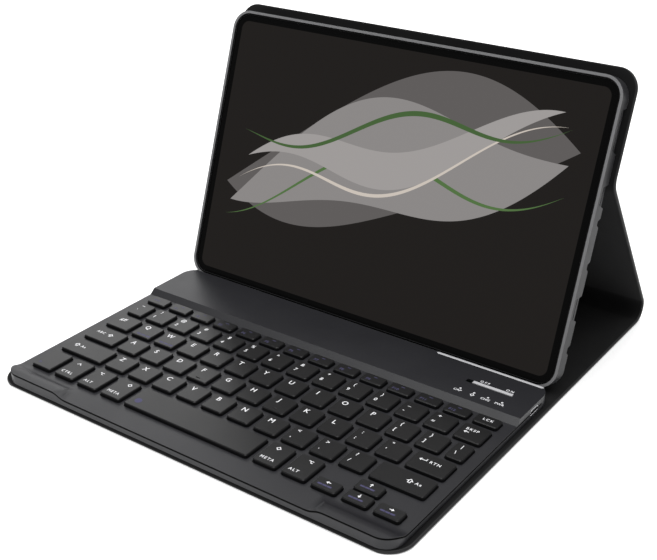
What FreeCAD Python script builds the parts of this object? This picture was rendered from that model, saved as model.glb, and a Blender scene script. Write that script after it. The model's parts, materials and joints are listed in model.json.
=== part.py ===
import FreeCAD, Part
import math
import os

os.makedirs("parts", exist_ok=True)
V = FreeCAD.Vector
X_AXIS = V(1, 0, 0)

# Driving sizes of the folded cover sheet, in millimetres and degrees
SKIN = 0.7
BOARD = 0.9
LINING = 0.4
SKIN_EDGE = 1.5
SPINE_RADIUS = 9.0
LOWER_PANEL = 117.5
LOWER_SLOPE = 54.2
TABLET_LEAN = 18.97
FOLD_GAP = 0.5
COVER_CORNER = 14.0
TOP_CORNER = 12.0
COVER_SIDE_MARGIN = 3.05
COVER_TOP_MARGIN = 5.3
STEEL = 0.4
STEEL_MARGIN = 30.0

# Driving sizes of the tablet and its shell
TABLET_WIDTH = 254.5
TABLET_HEIGHT = 166.3
TABLET_THICKNESS = 7.2
TABLET_CORNER = 10.0
TABLET_BACK_ROUND = 1.6
GLASS = 0.8
DISPLAY = 1.0
DISPLAY_MARGIN = 5.0
SHELL_FIT = 0.1
SHELL_WALL = 1.3
SHELL_BACK = 1.6
SHELL_LIP = 0.8
LIP_OVERLAP = 1.0
SHELL_BACK_ROUND = 1.0
ADHESIVE = 0.3
ADHESIVE_MARGIN = 4.0
FOOT_CLEARANCE = 0.45
TABLET_GAP = 1.46
NOTCH_DEPTH = 6.6
NICK_DEPTH = 3.4
NOTCH_FLARE = 1.8
# Each opening in a side wall of the shell: middle measured from the mid fold, and length
RIGHT_NOTCHES = [(27.8, 21.0), (-6.7, 9.6), (-67.9, 11.2)]
RIGHT_NICKS = [(-21.0, 2.4), (-44.7, 2.6), (-91.0, 3.0)]
LEFT_NOTCHES = [(27.8, 21.0), (-67.9, 11.2)]
LEFT_NICKS = [(-21.0, 2.4), (-91.0, 3.0)]
# Each opening in the top wall: middle measured from the middle of the shell, and length
TOP_NOTCHES = [(-96.4, 24.5), (82.0, 30.0)]

# Driving sizes of the key field
KEY = 14.05
KEY_GAP = 3.5
TAB_WIDTH = 17.0
BACKSLASH_WIDTH = 9.7
BACKQUOTE_WIDTH = 11.3
CAPS_WIDTH = 22.6
SHIFT_WIDTH = 30.9
BOTTOM_ROW_DEPTH = 18.0
ARROW_GAP = 1.6
FUNCTION_ROW_DEPTH = 8.0
KEY_HEIGHT = 2.4
KEY_RISE = 2.0
KEY_TRAVEL = 1.5
KEY_FLOOR = 0.2
KEY_CORNER = 1.4
KEY_BEVEL = 0.45
KEY_CLEARANCE = 0.4
DOME_RADIUS = 2.2
DOME_CLEARANCE = 0.05

# Driving sizes of the keyboard case
KEYBOARD_SHIFT = 1.4
KEYBOARD_INSET = 0.6
KEY_SIDE_MARGIN = 6.6
KEY_FRONT_MARGIN = 14.7
KEYBOARD_CORNER = 10.0
BOTTOM_CASE = 1.0
KEY_PLATE = 0.4
MEMBRANE = 0.2
DOME_SHEET = 0.2
DECK = 1.2
CASE_WALL = 1.6
HUMP_GAP = 2.2
HUMP_DEPTH = 39.8
HUMP_RISE = 2.9
RAMP_DEPTH = 3.6
HUMP_REAR_BEVEL = 1.5
SHOULDER_LENGTH = 38.0
SHOULDER_RAMP = 10.0
SHOULDER_DEPTH = 14.0
SHOULDER_CREST = 3.0
SHOULDER_RISE = 2.3
SHEET_MARGIN = 1.5
FOOT_PAD = 0.4
FOOT_PAD_LENGTH = 22.0
FOOT_PAD_WIDTH = 5.0
FOOT_PAD_INSET = 14.0

# Driving sizes of what the rear hump holds
BATTERY_LENGTH = 92.0
BATTERY_WIDTH = 22.0
BATTERY_HEIGHT = 3.0
BATTERY_LEFT = 28.0
CIRCUIT_LENGTH = 60.0
CIRCUIT_WIDTH = 24.0
CIRCUIT_HEIGHT = 1.0
HUMP_PART_GAP = 1.0
MAGNET_LENGTH = 18.0
MAGNET_WIDTH = 4.0
MAGNET_HEIGHT = 1.5
MAGNET_SPREAD = [-0.38, -0.14, 0.14, 0.36]
PORT_WIDTH = 9.0
PORT_HEIGHT = 3.2
PORT_DEPTH = 7.0
PORT_WALL = 0.4
PORT_TONGUE = 0.7
PORT_CLEARANCE = 0.2
PORT_FROM_HUMP = 19.4
SWITCH_SLOT = 28.0
SWITCH_SLOT_WIDTH = 3.0
SWITCH_LENGTH = 23.6
SWITCH_CLEARANCE = 0.4
SWITCH_PROUD = 0.2
SWITCH_STEM = 3.0
SWITCH_FROM_RIGHT = 27.2
SWITCH_FROM_HUMP = 21.0
LIGHT_RADIUS = 0.6
LIGHT_CLEARANCE = 0.1
LIGHT_PITCH = 8.3
LIGHT_COUNT = 4
LIGHT_FROM_HUMP = 11.6
SCREW_HEAD_RADIUS = 1.5
SCREW_RADIUS = 0.8
SCREW_CLEARANCE = 0.1
SCREW_DEPTH = 1.2
BOSS_RADIUS = 2.4
FRONT_SCREW_INSET = 7.2
FRONT_SCREW_SPREAD = 100.0

# Sizes that follow from those above
SHEET = SKIN + BOARD + LINING
SPINE_TURN = 180.0 - LOWER_SLOPE
UPPER_ANGLE = 90.0 - TABLET_LEAN
SHELL_WIDTH = TABLET_WIDTH + 2 * (SHELL_FIT + SHELL_WALL)
COVER_WIDTH = SHELL_WIDTH + 2 * COVER_SIDE_MARGIN
SHELL_START = SHEET + ADHESIVE
TABLET_START = SHELL_START + SHELL_BACK
TABLET_FRONT = TABLET_START + TABLET_THICKNESS
SHELL_FRONT = TABLET_FRONT + SHELL_LIP

KEY_FIELD = TAB_WIDTH + BACKSLASH_WIDTH + 12 * KEY + 13 * KEY_GAP
KEYBOARD_WIDTH = KEY_FIELD + 2 * KEY_SIDE_MARGIN
ROW_STEP = KEY + KEY_GAP
SHIFT_ROW = KEY_FRONT_MARGIN + BOTTOM_ROW_DEPTH + KEY_GAP
FUNCTION_ROW = SHIFT_ROW + 4 * ROW_STEP
HUMP_FRONT = FUNCTION_ROW + FUNCTION_ROW_DEPTH + HUMP_GAP
KEYBOARD_DEPTH = HUMP_FRONT + HUMP_DEPTH
KEY_BED = BOTTOM_CASE + KEY_PLATE + MEMBRANE + DOME_SHEET
KEY_BOTTOM = KEY_BED + KEY_FLOOR + KEY_TRAVEL
KEY_TOP = KEY_BOTTOM + KEY_HEIGHT
DECK_TOP = KEY_TOP - KEY_RISE
HUMP_TOP = DECK_TOP + HUMP_RISE

LEAN_SIN = math.sin(math.radians(TABLET_LEAN))
LEAN_COS = math.cos(math.radians(TABLET_LEAN))
TURN_SIN = math.sin(math.radians(SPINE_TURN))
TURN_COS = math.cos(math.radians(SPINE_TURN))
# The mid fold, measured from the rear end of the flat base
FOLD_BACK = SPINE_RADIUS * TURN_SIN + LOWER_PANEL * TURN_COS
FOLD_HEIGHT = SPINE_RADIUS * (1 - TURN_COS) + LOWER_PANEL * TURN_SIN
# The shell's foot stands just above the base lining
SHELL_DROP = (FOLD_HEIGHT + SHELL_START * LEAN_SIN - SHEET - FOOT_CLEARANCE) / LEAN_COS
TABLET_BOTTOM = -SHELL_DROP + SHELL_WALL + SHELL_FIT
TABLET_TOP = TABLET_BOTTOM + TABLET_HEIGHT
SHELL_TOP = TABLET_TOP + SHELL_FIT + SHELL_WALL
UPPER_PANEL = SHELL_TOP + COVER_TOP_MARGIN
# The base is as long as the keyboard and the stand behind it need
FOOT_BACK = FOLD_BACK - SHELL_DROP * LEAN_SIN - SHELL_FRONT * LEAN_COS
BASE_LENGTH = KEYBOARD_INSET + KEYBOARD_DEPTH + TABLET_GAP - FOOT_BACK
FRONT = -(BASE_LENGTH + SPINE_RADIUS) / 2
BASE_END = FRONT + BASE_LENGTH

BASE_PLACE = FreeCAD.Placement(V(0, FRONT, 0), FreeCAD.Rotation(X_AXIS, 0))
LOWER_START = V(0, BASE_END + SPINE_RADIUS * TURN_SIN, SPINE_RADIUS * (1 - TURN_COS))
LOWER_PLACE = FreeCAD.Placement(LOWER_START, FreeCAD.Rotation(X_AXIS, SPINE_TURN))
FOLD = V(0, BASE_END + FOLD_BACK, FOLD_HEIGHT)
UPPER_PLACE = FreeCAD.Placement(FOLD, FreeCAD.Rotation(X_AXIS, UPPER_ANGLE))
KEYBOARD_ORIGIN = V(KEYBOARD_SHIFT, FRONT + KEYBOARD_INSET, SHEET + FOOT_PAD)
KEYBOARD_PLACE = FreeCAD.Placement(KEYBOARD_ORIGIN, FreeCAD.Rotation(X_AXIS, 0))


def box(x0, x1, y0, y1, z0, z1):
    return Part.makeBox(x1 - x0, y1 - y0, z1 - z0, V(x0, y0, z0))


def rounded_wire(x0, x1, y0, y1, z, radii):
    """Rectangle whose corners have these radii: front left, front right, rear right, rear left."""
    corners = [V(x0, y0, z), V(x1, y0, z), V(x1, y1, z), V(x0, y1, z)]
    edges = []
    ends = []
    for index, corner in enumerate(corners):
        radius = radii[index]
        before = (corners[index - 1] - corner).normalize()
        after = (corners[(index + 1) % 4] - corner).normalize()
        start = corner + before * radius
        finish = corner + after * radius
        if radius > 0:
            middle = corner + (before + after) * (radius * (1 - math.sqrt(0.5)))
            edges.append(Part.Arc(start, middle, finish).toShape())
        ends.append((start, finish))
    sides = []
    for index in range(4):
        sides.append(Part.LineSegment(ends[index][1], ends[(index + 1) % 4][0]).toShape())
    return Part.Wire(Part.__sortEdges__(edges + sides))


def rounded_block(x0, x1, y0, y1, z0, z1, radii):
    face = Part.Face(rounded_wire(x0, x1, y0, y1, z0, radii))
    return face.extrude(V(0, 0, z1 - z0))


def centred_block(width, y0, y1, z0, z1, radius):
    return rounded_block(-width / 2, width / 2, y0, y1, z0, z1, [radius] * 4)


def side_prism(points, x0, x1):
    """Outline of (y, z) points, drawn out along X."""
    corners = [V(x0, y, z) for y, z in points]
    return Part.Face(Part.makePolygon(corners + corners[:1])).extrude(V(x1 - x0, 0, 0))


def front_prism(points, y0, y1):
    """Outline of (x, z) points, drawn out along Y."""
    corners = [V(x, y0, z) for x, z in points]
    return Part.Face(Part.makePolygon(corners + corners[:1])).extrude(V(0, y1 - y0, 0))


def placed(shape, placement):
    moved = shape.copy()
    moved.Placement = placement
    return moved


def save(node, shape):
    shape.exportStep("parts/" + node + ".step")


def panel_layers(start, end, radii, pocket=None):
    """Skin with its turned edge, the stiff board in it and the lining, outer face down."""
    half = COVER_WIDTH / 2
    inner = [max(radius - SKIN_EDGE, 0) for radius in radii]
    board_top = SKIN + BOARD
    hollow = (-half + SKIN_EDGE, half - SKIN_EDGE, start + SKIN_EDGE, end - SKIN_EDGE)
    board = rounded_block(*hollow, SKIN, board_top, inner)
    skin = rounded_block(-half, half, start, end, 0, board_top, radii).cut(board)
    lining = rounded_block(-half, half, start, end, board_top, SHEET, radii)
    if pocket:
        board = board.cut(pocket)
    return skin, board, lining


def make_base():
    half = KEYBOARD_WIDTH / 2 - STEEL_MARGIN
    board_top = SKIN + BOARD
    steel = box(-half, half, STEEL_MARGIN, KEYBOARD_DEPTH - STEEL_MARGIN, board_top - STEEL, board_top)
    radii = [COVER_CORNER, COVER_CORNER, 0, 0]
    skin, board, lining = panel_layers(0, BASE_LENGTH, radii, steel)
    save("base_skin", placed(skin, BASE_PLACE))
    save("base_board", placed(board, BASE_PLACE))
    save("base_lining", placed(lining, BASE_PLACE))
    save("base_steel_sheet", placed(steel, BASE_PLACE))


def spine_band(outer, inner):
    """Band between two radii, bent through the spine's turn about its centre."""
    centre = V(-COVER_WIDTH / 2, BASE_END, SPINE_RADIUS)

    def point(radius, turn):
        angle = math.radians(turn - 90)
        return centre + V(0, radius * math.cos(angle), radius * math.sin(angle))

    arcs = []
    for radius in (outer, inner):
        stops = [point(radius, share * SPINE_TURN) for share in (0, 0.5, 1)]
        arcs.append(Part.Arc(*stops).toShape())
    ends = [Part.LineSegment(point(outer, turn), point(inner, turn)).toShape() for turn in (0, SPINE_TURN)]
    wire = Part.Wire(Part.__sortEdges__(arcs + ends))
    return Part.Face(wire).extrude(V(COVER_WIDTH, 0, 0))


def make_spine():
    middle = SPINE_RADIUS - SKIN - BOARD
    save("spine_skin", spine_band(SPINE_RADIUS, middle))
    save("spine_lining", spine_band(middle, SPINE_RADIUS - SHEET))


def make_lower_panel():
    skin, board, lining = panel_layers(0, LOWER_PANEL - FOLD_GAP, [0] * 4)
    save("lower_panel_skin", placed(skin, LOWER_PLACE))
    save("lower_panel_board", placed(board, LOWER_PLACE))
    save("lower_panel_lining", placed(lining, LOWER_PLACE))


def make_upper_panel():
    skin, board, lining = panel_layers(FOLD_GAP, UPPER_PANEL, [0, 0, TOP_CORNER, TOP_CORNER])
    save("upper_panel_skin", placed(skin, UPPER_PLACE))
    save("upper_panel_board", placed(board, UPPER_PLACE))
    save("upper_panel_lining", placed(lining, UPPER_PLACE))
    pad_end = SHELL_TOP - TABLET_CORNER
    pad_width = SHELL_WIDTH - 2 * TABLET_CORNER
    pad = centred_block(pad_width, ADHESIVE_MARGIN, pad_end, SHEET, SHELL_START, ADHESIVE_MARGIN)
    save("shell_adhesive", placed(pad, UPPER_PLACE))


def flat_edges(shape, height):
    """Edges that lie wholly at this height."""
    found = []
    for edge in shape.Edges:
        bounds = edge.BoundBox
        if abs(bounds.ZMin - height) < 1e-6 and abs(bounds.ZMax - height) < 1e-6:
            found.append(edge)
    return found


def notch_outline(middle, length, depth):
    """Opening in a shell wall, cut in from the back and wider there."""
    start = middle - length / 2
    end = middle + length / 2
    high = SHELL_START + depth
    return [(start - NOTCH_FLARE, SHEET), (start, high), (end, high), (end + NOTCH_FLARE, SHEET)]


def make_shell():
    """Clear shell: back, four walls, a lip over the glass edge, and openings in its walls."""
    outer_corner = TABLET_CORNER + SHELL_FIT + SHELL_WALL
    body = centred_block(SHELL_WIDTH, -SHELL_DROP, SHELL_TOP, SHELL_START, SHELL_FRONT, outer_corner)
    body = body.makeFillet(SHELL_BACK_ROUND, flat_edges(body, SHELL_START))
    width = TABLET_WIDTH + 2 * SHELL_FIT
    low = TABLET_BOTTOM - SHELL_FIT
    high = TABLET_TOP + SHELL_FIT
    pocket = centred_block(width, low, high, TABLET_START, TABLET_FRONT, TABLET_CORNER + SHELL_FIT)
    view_width = TABLET_WIDTH - 2 * LIP_OVERLAP
    view = centred_block(view_width, TABLET_BOTTOM + LIP_OVERLAP, TABLET_TOP - LIP_OVERLAP,
                         TABLET_FRONT, SHELL_FRONT, TABLET_CORNER - LIP_OVERLAP)
    shell = body.cut(pocket).cut(view)
    openings = []
    for side, notches, nicks in ((1, RIGHT_NOTCHES, RIGHT_NICKS), (-1, LEFT_NOTCHES, LEFT_NICKS)):
        inner, outer = sorted([side * SHELL_WIDTH / 2, side * TABLET_WIDTH / 2])
        for places, depth in ((notches, NOTCH_DEPTH), (nicks, NICK_DEPTH)):
            for middle, length in places:
                openings.append(side_prism(notch_outline(middle, length, depth), inner, outer))
    for middle, length in TOP_NOTCHES:
        openings.append(front_prism(notch_outline(middle, length, NOTCH_DEPTH), TABLET_TOP, SHELL_TOP))
    for opening in openings:
        shell = shell.cut(opening)
    save("tablet_shell", placed(shell, UPPER_PLACE))


def make_tablet():
    housing_front = TABLET_FRONT - GLASS
    housing = centred_block(TABLET_WIDTH, TABLET_BOTTOM, TABLET_TOP, TABLET_START, housing_front, TABLET_CORNER)
    housing = housing.makeFillet(TABLET_BACK_ROUND, flat_edges(housing, TABLET_START))
    width = TABLET_WIDTH - 2 * DISPLAY_MARGIN
    low = TABLET_BOTTOM + DISPLAY_MARGIN
    high = TABLET_TOP - DISPLAY_MARGIN
    corner = TABLET_CORNER - DISPLAY_MARGIN
    display = centred_block(width, low, high, housing_front - DISPLAY, housing_front, corner)
    glass = centred_block(TABLET_WIDTH, TABLET_BOTTOM, TABLET_TOP, housing_front, TABLET_FRONT, TABLET_CORNER)
    save("tablet_housing", placed(housing.cut(display), UPPER_PLACE))
    save("tablet_display", placed(display, UPPER_PLACE))
    save("tablet_glass", placed(glass, UPPER_PLACE))


def key_row(y0, depth, keys):
    """Keys of one row from the left: (node, width), where None takes up what is left of the row."""
    fixed = sum(width for node, width in keys if width)
    spare = KEY_FIELD - fixed - KEY_GAP * (len(keys) - 1)
    places = []
    x = -KEY_FIELD / 2
    for node, width in keys:
        width = width or spare
        places.append((node, x, x + width, y0, y0 + depth))
        x += width + KEY_GAP
    return places


def key_places():
    """Node and rectangle of every key, front row first."""
    left_mods = ["key_fn", "key_ctrl", "key_alt", "key_meta"]
    right_mods = ["key_meta_right", "key_alt_right", "key_left", "arrow_pair", "key_right"]
    bottom = [(node, KEY) for node in left_mods] + [("key_space", None)] + [(node, KEY) for node in right_mods]
    arrow_depth = (BOTTOM_ROW_DEPTH - ARROW_GAP) / 2
    rows = []
    for node, x0, x1, y0, y1 in key_row(KEY_FRONT_MARGIN, BOTTOM_ROW_DEPTH, bottom):
        if node == "arrow_pair":
            rows.append(("key_down", x0, x1, y0, y0 + arrow_depth))
            rows.append(("key_up", x0, x1, y1 - arrow_depth, y1))
        elif node in ("key_left", "key_right"):
            rows.append((node, x0, x1, y0, y0 + arrow_depth))
        else:
            rows.append((node, x0, x1, y0, y1))
    main_rows = [
        ("key_shift_left", SHIFT_WIDTH, "keys_lower_letters", 10, "key_shift_right"),
        ("key_caps", CAPS_WIDTH, "keys_home_letters", 11, "key_enter"),
        ("key_tab", TAB_WIDTH, "keys_upper_letters", 12, "key_backslash"),
        ("key_backquote", BACKQUOTE_WIDTH, "keys_digits", 12, "key_backspace"),
    ]
    for index, (first, width, middle_keys, count, last) in enumerate(main_rows):
        keys = [(first, width)] + [(middle_keys, KEY)] * count + [(last, None)]
        rows += key_row(SHIFT_ROW + index * ROW_STEP, KEY, keys)
    function_count = 14
    width = (KEY_FIELD - (function_count - 1) * KEY_GAP) / function_count
    names = ["key_escape"] + ["keys_function"] * (function_count - 2) + ["key_lock"]
    rows += key_row(FUNCTION_ROW, FUNCTION_ROW_DEPTH, [(name, width) for name in names])
    return rows


def key_cap(x0, x1, y0, y1):
    """Low cap with upright sides and a bevelled top edge."""
    bevel = KEY_BEVEL
    sections = []
    for inset, z in ((0, KEY_BOTTOM), (0, KEY_TOP - bevel), (bevel, KEY_TOP)):
        radii = [KEY_CORNER - inset] * 4
        sections.append(rounded_wire(x0 + inset, x1 - inset, y0 + inset, y1 - inset, z, radii))
    return Part.makeLoft(sections, True, True)


def make_keys(places):
    groups = {}
    for node, x0, x1, y0, y1 in places:
        groups.setdefault(node, []).append(key_cap(x0, x1, y0, y1))
    for node, caps in groups.items():
        shape = caps[0] if len(caps) == 1 else Part.makeCompound(caps)
        save(node, placed(shape, KEYBOARD_PLACE))


def screw_places():
    front = [(x, FRONT_SCREW_INSET) for x in (-FRONT_SCREW_SPREAD, 0, FRONT_SCREW_SPREAD)]
    middle = HUMP_FRONT + HUMP_DEPTH / 2
    hump_left = -KEYBOARD_WIDTH / 2 + BATTERY_LEFT / 2
    hump_right = hump_left + BATTERY_LEFT / 2 + BATTERY_LENGTH + BATTERY_LEFT / 2
    return front + [(hump_left, middle), (hump_right, middle)]


def hump_parts_front():
    return HUMP_FRONT + RAMP_DEPTH + DECK


def light_places():
    right = KEYBOARD_WIDTH / 2 - SWITCH_FROM_RIGHT
    first = right - LIGHT_PITCH * (LIGHT_COUNT - 1) / 2
    return [(first + index * LIGHT_PITCH, HUMP_FRONT + LIGHT_FROM_HUMP) for index in range(LIGHT_COUNT)]


def port_block(grow, x0, x1):
    """Rounded bar of the port's outline, drawn along X, with room added all round."""
    y0 = HUMP_FRONT + PORT_FROM_HUMP - PORT_WIDTH / 2 - grow
    z0 = BOTTOM_CASE + CIRCUIT_HEIGHT - grow
    width = PORT_WIDTH + 2 * grow
    height = PORT_HEIGHT + 2 * grow
    bar = Part.makeBox(x1 - x0, width, height, V(x0, y0, z0))
    long_edges = [edge for edge in bar.Edges if edge.BoundBox.XLength > max(width, height) / 1e6 + 1e-6]
    return bar.makeFillet(height / 2.2, long_edges)


def case_outline(inset):
    """Side outline of the case's upper surface, this far inside it."""
    foot = BOTTOM_CASE
    front = inset
    rear = KEYBOARD_DEPTH - inset
    slope_shift = inset * (math.hypot(RAMP_DEPTH, HUMP_RISE) - RAMP_DEPTH) / HUMP_RISE
    return [
        (front, foot),
        (front, DECK_TOP - inset),
        (HUMP_FRONT + slope_shift, DECK_TOP - inset),
        (HUMP_FRONT + RAMP_DEPTH + slope_shift, HUMP_TOP - inset),
        (rear - HUMP_REAR_BEVEL, HUMP_TOP - inset),
        (rear, HUMP_TOP - inset - HUMP_REAR_BEVEL),
        (rear, foot),
    ]


def ridge_face(start, crest_end, foot, place):
    """Face under a level crest that falls in an S of two equal arcs to its foot on the deck."""
    low = DECK_TOP
    high = DECK_TOP + SHOULDER_RISE
    run = foot - crest_end
    radius = (run ** 2 + SHOULDER_RISE ** 2) / (4 * SHOULDER_RISE)
    turn = math.asin(abs(run) / 2 / radius) / 2
    ahead = math.copysign(radius * math.sin(turn), run)
    fall = radius * (1 - math.cos(turn))
    crest = place(crest_end, high)
    middle = place((crest_end + foot) / 2, (low + high) / 2)
    base = place(foot, low)
    curves = [
        Part.LineSegment(base, place(start, low)),
        Part.LineSegment(place(start, low), place(start, high)),
        Part.LineSegment(place(start, high), crest),
        Part.Arc(crest, place(crest_end + ahead, high - fall), middle),
        Part.Arc(middle, place(foot - ahead, low + fall), base),
    ]
    return Part.Face(Part.Wire(Part.__sortEdges__([curve.toShape() for curve in curves])))


def shoulders():
    """Raised corners at the front of the case, falling away to the deck behind and inwards."""
    half = KEYBOARD_WIDTH / 2
    side_face = ridge_face(0, SHOULDER_CREST, SHOULDER_DEPTH, lambda y, z: V(-half, y, z))
    side_view = side_face.extrude(V(KEYBOARD_WIDTH, 0, 0))
    result = []
    for side in (-1, 1):
        crest_end = side * (half - SHOULDER_LENGTH)
        foot = side * (half - SHOULDER_LENGTH - SHOULDER_RAMP)
        face = ridge_face(side * half, crest_end, foot, lambda x, z: V(x, 0, z))
        result.append(face.extrude(V(0, SHOULDER_DEPTH, 0)).common(side_view))
    return result


def make_top_case(places):
    half = KEYBOARD_WIDTH / 2
    plan = centred_block(KEYBOARD_WIDTH, 0, KEYBOARD_DEPTH, BOTTOM_CASE, HUMP_TOP, KEYBOARD_CORNER)
    outer = side_prism(case_outline(0), -half, half).multiFuse(shoulders()).common(plan)
    room = centred_block(KEYBOARD_WIDTH - 2 * CASE_WALL, CASE_WALL, KEYBOARD_DEPTH - CASE_WALL,
                         BOTTOM_CASE, HUMP_TOP, KEYBOARD_CORNER - CASE_WALL)
    inside = side_prism(case_outline(DECK), -half, half).common(room)
    case = outer.cut(inside)
    bosses = []
    for x, y in screw_places():
        ceiling = DECK_TOP if y < HUMP_FRONT else HUMP_TOP
        height = ceiling - DECK - BOTTOM_CASE
        boss = Part.makeCylinder(BOSS_RADIUS, height, V(x, y, BOTTOM_CASE))
        bosses.append(boss.cut(Part.makeCylinder(SCREW_RADIUS + SCREW_CLEARANCE, height, V(x, y, BOTTOM_CASE))))
    case = case.multiFuse(bosses)
    room_for_key = KEY_CLEARANCE
    cuts = []
    for node, x0, x1, y0, y1 in places:
        corner = [KEY_CORNER + room_for_key] * 4
        cuts.append(rounded_block(x0 - room_for_key, x1 + room_for_key, y0 - room_for_key, y1 + room_for_key,
                                  DECK_TOP - DECK, DECK_TOP, corner))
    slot_end = half - SWITCH_FROM_RIGHT + SWITCH_SLOT / 2
    slot_y = HUMP_FRONT + SWITCH_FROM_HUMP
    cuts.append(box(slot_end - SWITCH_SLOT, slot_end, slot_y - SWITCH_SLOT_WIDTH / 2,
                    slot_y + SWITCH_SLOT_WIDTH / 2, HUMP_TOP - DECK, HUMP_TOP))
    for x, y in light_places():
        cuts.append(Part.makeCylinder(LIGHT_RADIUS + LIGHT_CLEARANCE, DECK, V(x, y, HUMP_TOP - DECK)))
    cuts.append(port_block(PORT_CLEARANCE, half - PORT_DEPTH, half))
    save("keyboard_top_case", placed(case.cut(Part.makeCompound(cuts)), KEYBOARD_PLACE))


def make_bottom_case():
    plate = centred_block(KEYBOARD_WIDTH, 0, KEYBOARD_DEPTH, 0, BOTTOM_CASE, KEYBOARD_CORNER)
    heads = []
    screws = []
    head_height = BOTTOM_CASE
    for x, y in screw_places():
        heads.append(Part.makeCylinder(SCREW_HEAD_RADIUS + SCREW_CLEARANCE, head_height, V(x, y, 0)))
        head = Part.makeCylinder(SCREW_HEAD_RADIUS, head_height, V(x, y, 0))
        screws.append(head.fuse(Part.makeCylinder(SCREW_RADIUS, SCREW_DEPTH, V(x, y, head_height))))
    save("keyboard_bottom_case", placed(plate.cut(Part.makeCompound(heads)), KEYBOARD_PLACE))
    save("keyboard_screws", placed(Part.makeCompound(screws), KEYBOARD_PLACE))


def make_key_bed(places):
    """Plate, membrane and rubber dome sheet, stacked on the bottom case under the keys."""
    half = KEY_FIELD / 2 + SHEET_MARGIN
    front = KEY_FRONT_MARGIN - SHEET_MARGIN
    rear = FUNCTION_ROW + FUNCTION_ROW_DEPTH + SHEET_MARGIN
    plate_top = BOTTOM_CASE + KEY_PLATE
    membrane_top = plate_top + MEMBRANE
    save("key_plate", placed(box(-half, half, front, rear, BOTTOM_CASE, plate_top), KEYBOARD_PLACE))
    save("key_membrane", placed(box(-half, half, front, rear, plate_top, membrane_top), KEYBOARD_PLACE))
    sheet = box(-half, half, front, rear, membrane_top, KEY_BED)
    height = KEY_BOTTOM - DOME_CLEARANCE - KEY_BED
    domes = []
    for node, x0, x1, y0, y1 in places:
        domes.append(Part.makeCylinder(DOME_RADIUS, height, V((x0 + x1) / 2, (y0 + y1) / 2, KEY_BED)))
    save("rubber_dome_sheet", placed(sheet.multiFuse(domes), KEYBOARD_PLACE))


def make_hump_parts():
    """Battery, circuit board, charging port, lights, magnets and the slide switch."""
    half = KEYBOARD_WIDTH / 2
    front = hump_parts_front()
    floor = BOTTOM_CASE
    battery_x = -half + BATTERY_LEFT
    battery = Part.makeBox(BATTERY_LENGTH, BATTERY_WIDTH, BATTERY_HEIGHT, V(battery_x, front, floor))
    save("battery", placed(battery, KEYBOARD_PLACE))
    board_x = half - CASE_WALL - HUMP_PART_GAP - CIRCUIT_LENGTH
    board = Part.makeBox(CIRCUIT_LENGTH, CIRCUIT_WIDTH, CIRCUIT_HEIGHT, V(board_x, front, floor))
    save("circuit_board", placed(board, KEYBOARD_PLACE))
    board_top = floor + CIRCUIT_HEIGHT

    port = port_block(0, half - PORT_DEPTH, half).cut(port_block(-PORT_WALL, half - PORT_DEPTH + PORT_WALL, half))
    tongue_y = HUMP_FRONT + PORT_FROM_HUMP
    tongue_z = board_top + PORT_HEIGHT / 2
    tongue_half = PORT_WIDTH / 2 - PORT_HEIGHT / 2
    tongue = box(half - PORT_DEPTH, half - PORT_WALL, tongue_y - tongue_half, tongue_y + tongue_half,
                 tongue_z - PORT_TONGUE / 2, tongue_z + PORT_TONGUE / 2)
    save("charging_port", placed(port.fuse(tongue), KEYBOARD_PLACE))

    lights = [Part.makeCylinder(LIGHT_RADIUS, HUMP_TOP - board_top, V(x, y, board_top)) for x, y in light_places()]
    save("indicator_lights", placed(Part.makeCompound(lights), KEYBOARD_PLACE))

    magnet_y = KEYBOARD_DEPTH - CASE_WALL - HUMP_PART_GAP - MAGNET_WIDTH
    magnets = []
    for share in MAGNET_SPREAD:
        x = share * KEYBOARD_WIDTH - MAGNET_LENGTH / 2
        magnets.append(Part.makeBox(MAGNET_LENGTH, MAGNET_WIDTH, MAGNET_HEIGHT, V(x, magnet_y, floor)))
    save("keyboard_magnets", placed(Part.makeCompound(magnets), KEYBOARD_PLACE))

    bar_x = half - SWITCH_FROM_RIGHT + SWITCH_SLOT / 2 - SWITCH_CLEARANCE - SWITCH_LENGTH
    bar_y = HUMP_FRONT + SWITCH_FROM_HUMP
    bar_half = SWITCH_SLOT_WIDTH / 2 - SWITCH_CLEARANCE
    bar_bottom = HUMP_TOP - DECK
    bar = box(bar_x, bar_x + SWITCH_LENGTH, bar_y - bar_half, bar_y + bar_half, bar_bottom, HUMP_TOP + SWITCH_PROUD)
    stem_x = bar_x + SWITCH_LENGTH / 2
    stem = box(stem_x, stem_x + SWITCH_STEM, bar_y - bar_half, bar_y + bar_half,
               board_top + SWITCH_CLEARANCE, bar_bottom)
    save("power_switch", placed(bar.fuse(stem).removeSplitter(), KEYBOARD_PLACE))


def make_feet():
    half = KEYBOARD_WIDTH / 2 - FOOT_PAD_INSET
    pads = []
    for x in (-half, half - FOOT_PAD_LENGTH):
        for y in (FOOT_PAD_INSET, KEYBOARD_DEPTH - FOOT_PAD_INSET - FOOT_PAD_WIDTH):
            pads.append(box(x, x + FOOT_PAD_LENGTH, y, y + FOOT_PAD_WIDTH, -FOOT_PAD, 0))
    save("keyboard_feet", placed(Part.makeCompound(pads), KEYBOARD_PLACE))


def main():
    places = key_places()
    make_base()
    make_spine()
    make_lower_panel()
    make_upper_panel()
    make_shell()
    make_tablet()
    make_keys(places)
    make_top_case(places)
    make_bottom_case()
    make_key_bed(places)
    make_hump_parts()
    make_feet()


main()
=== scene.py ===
import json
import math

import bmesh
import bpy
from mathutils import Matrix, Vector
from mathutils.bvhtree import BVHTree


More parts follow.
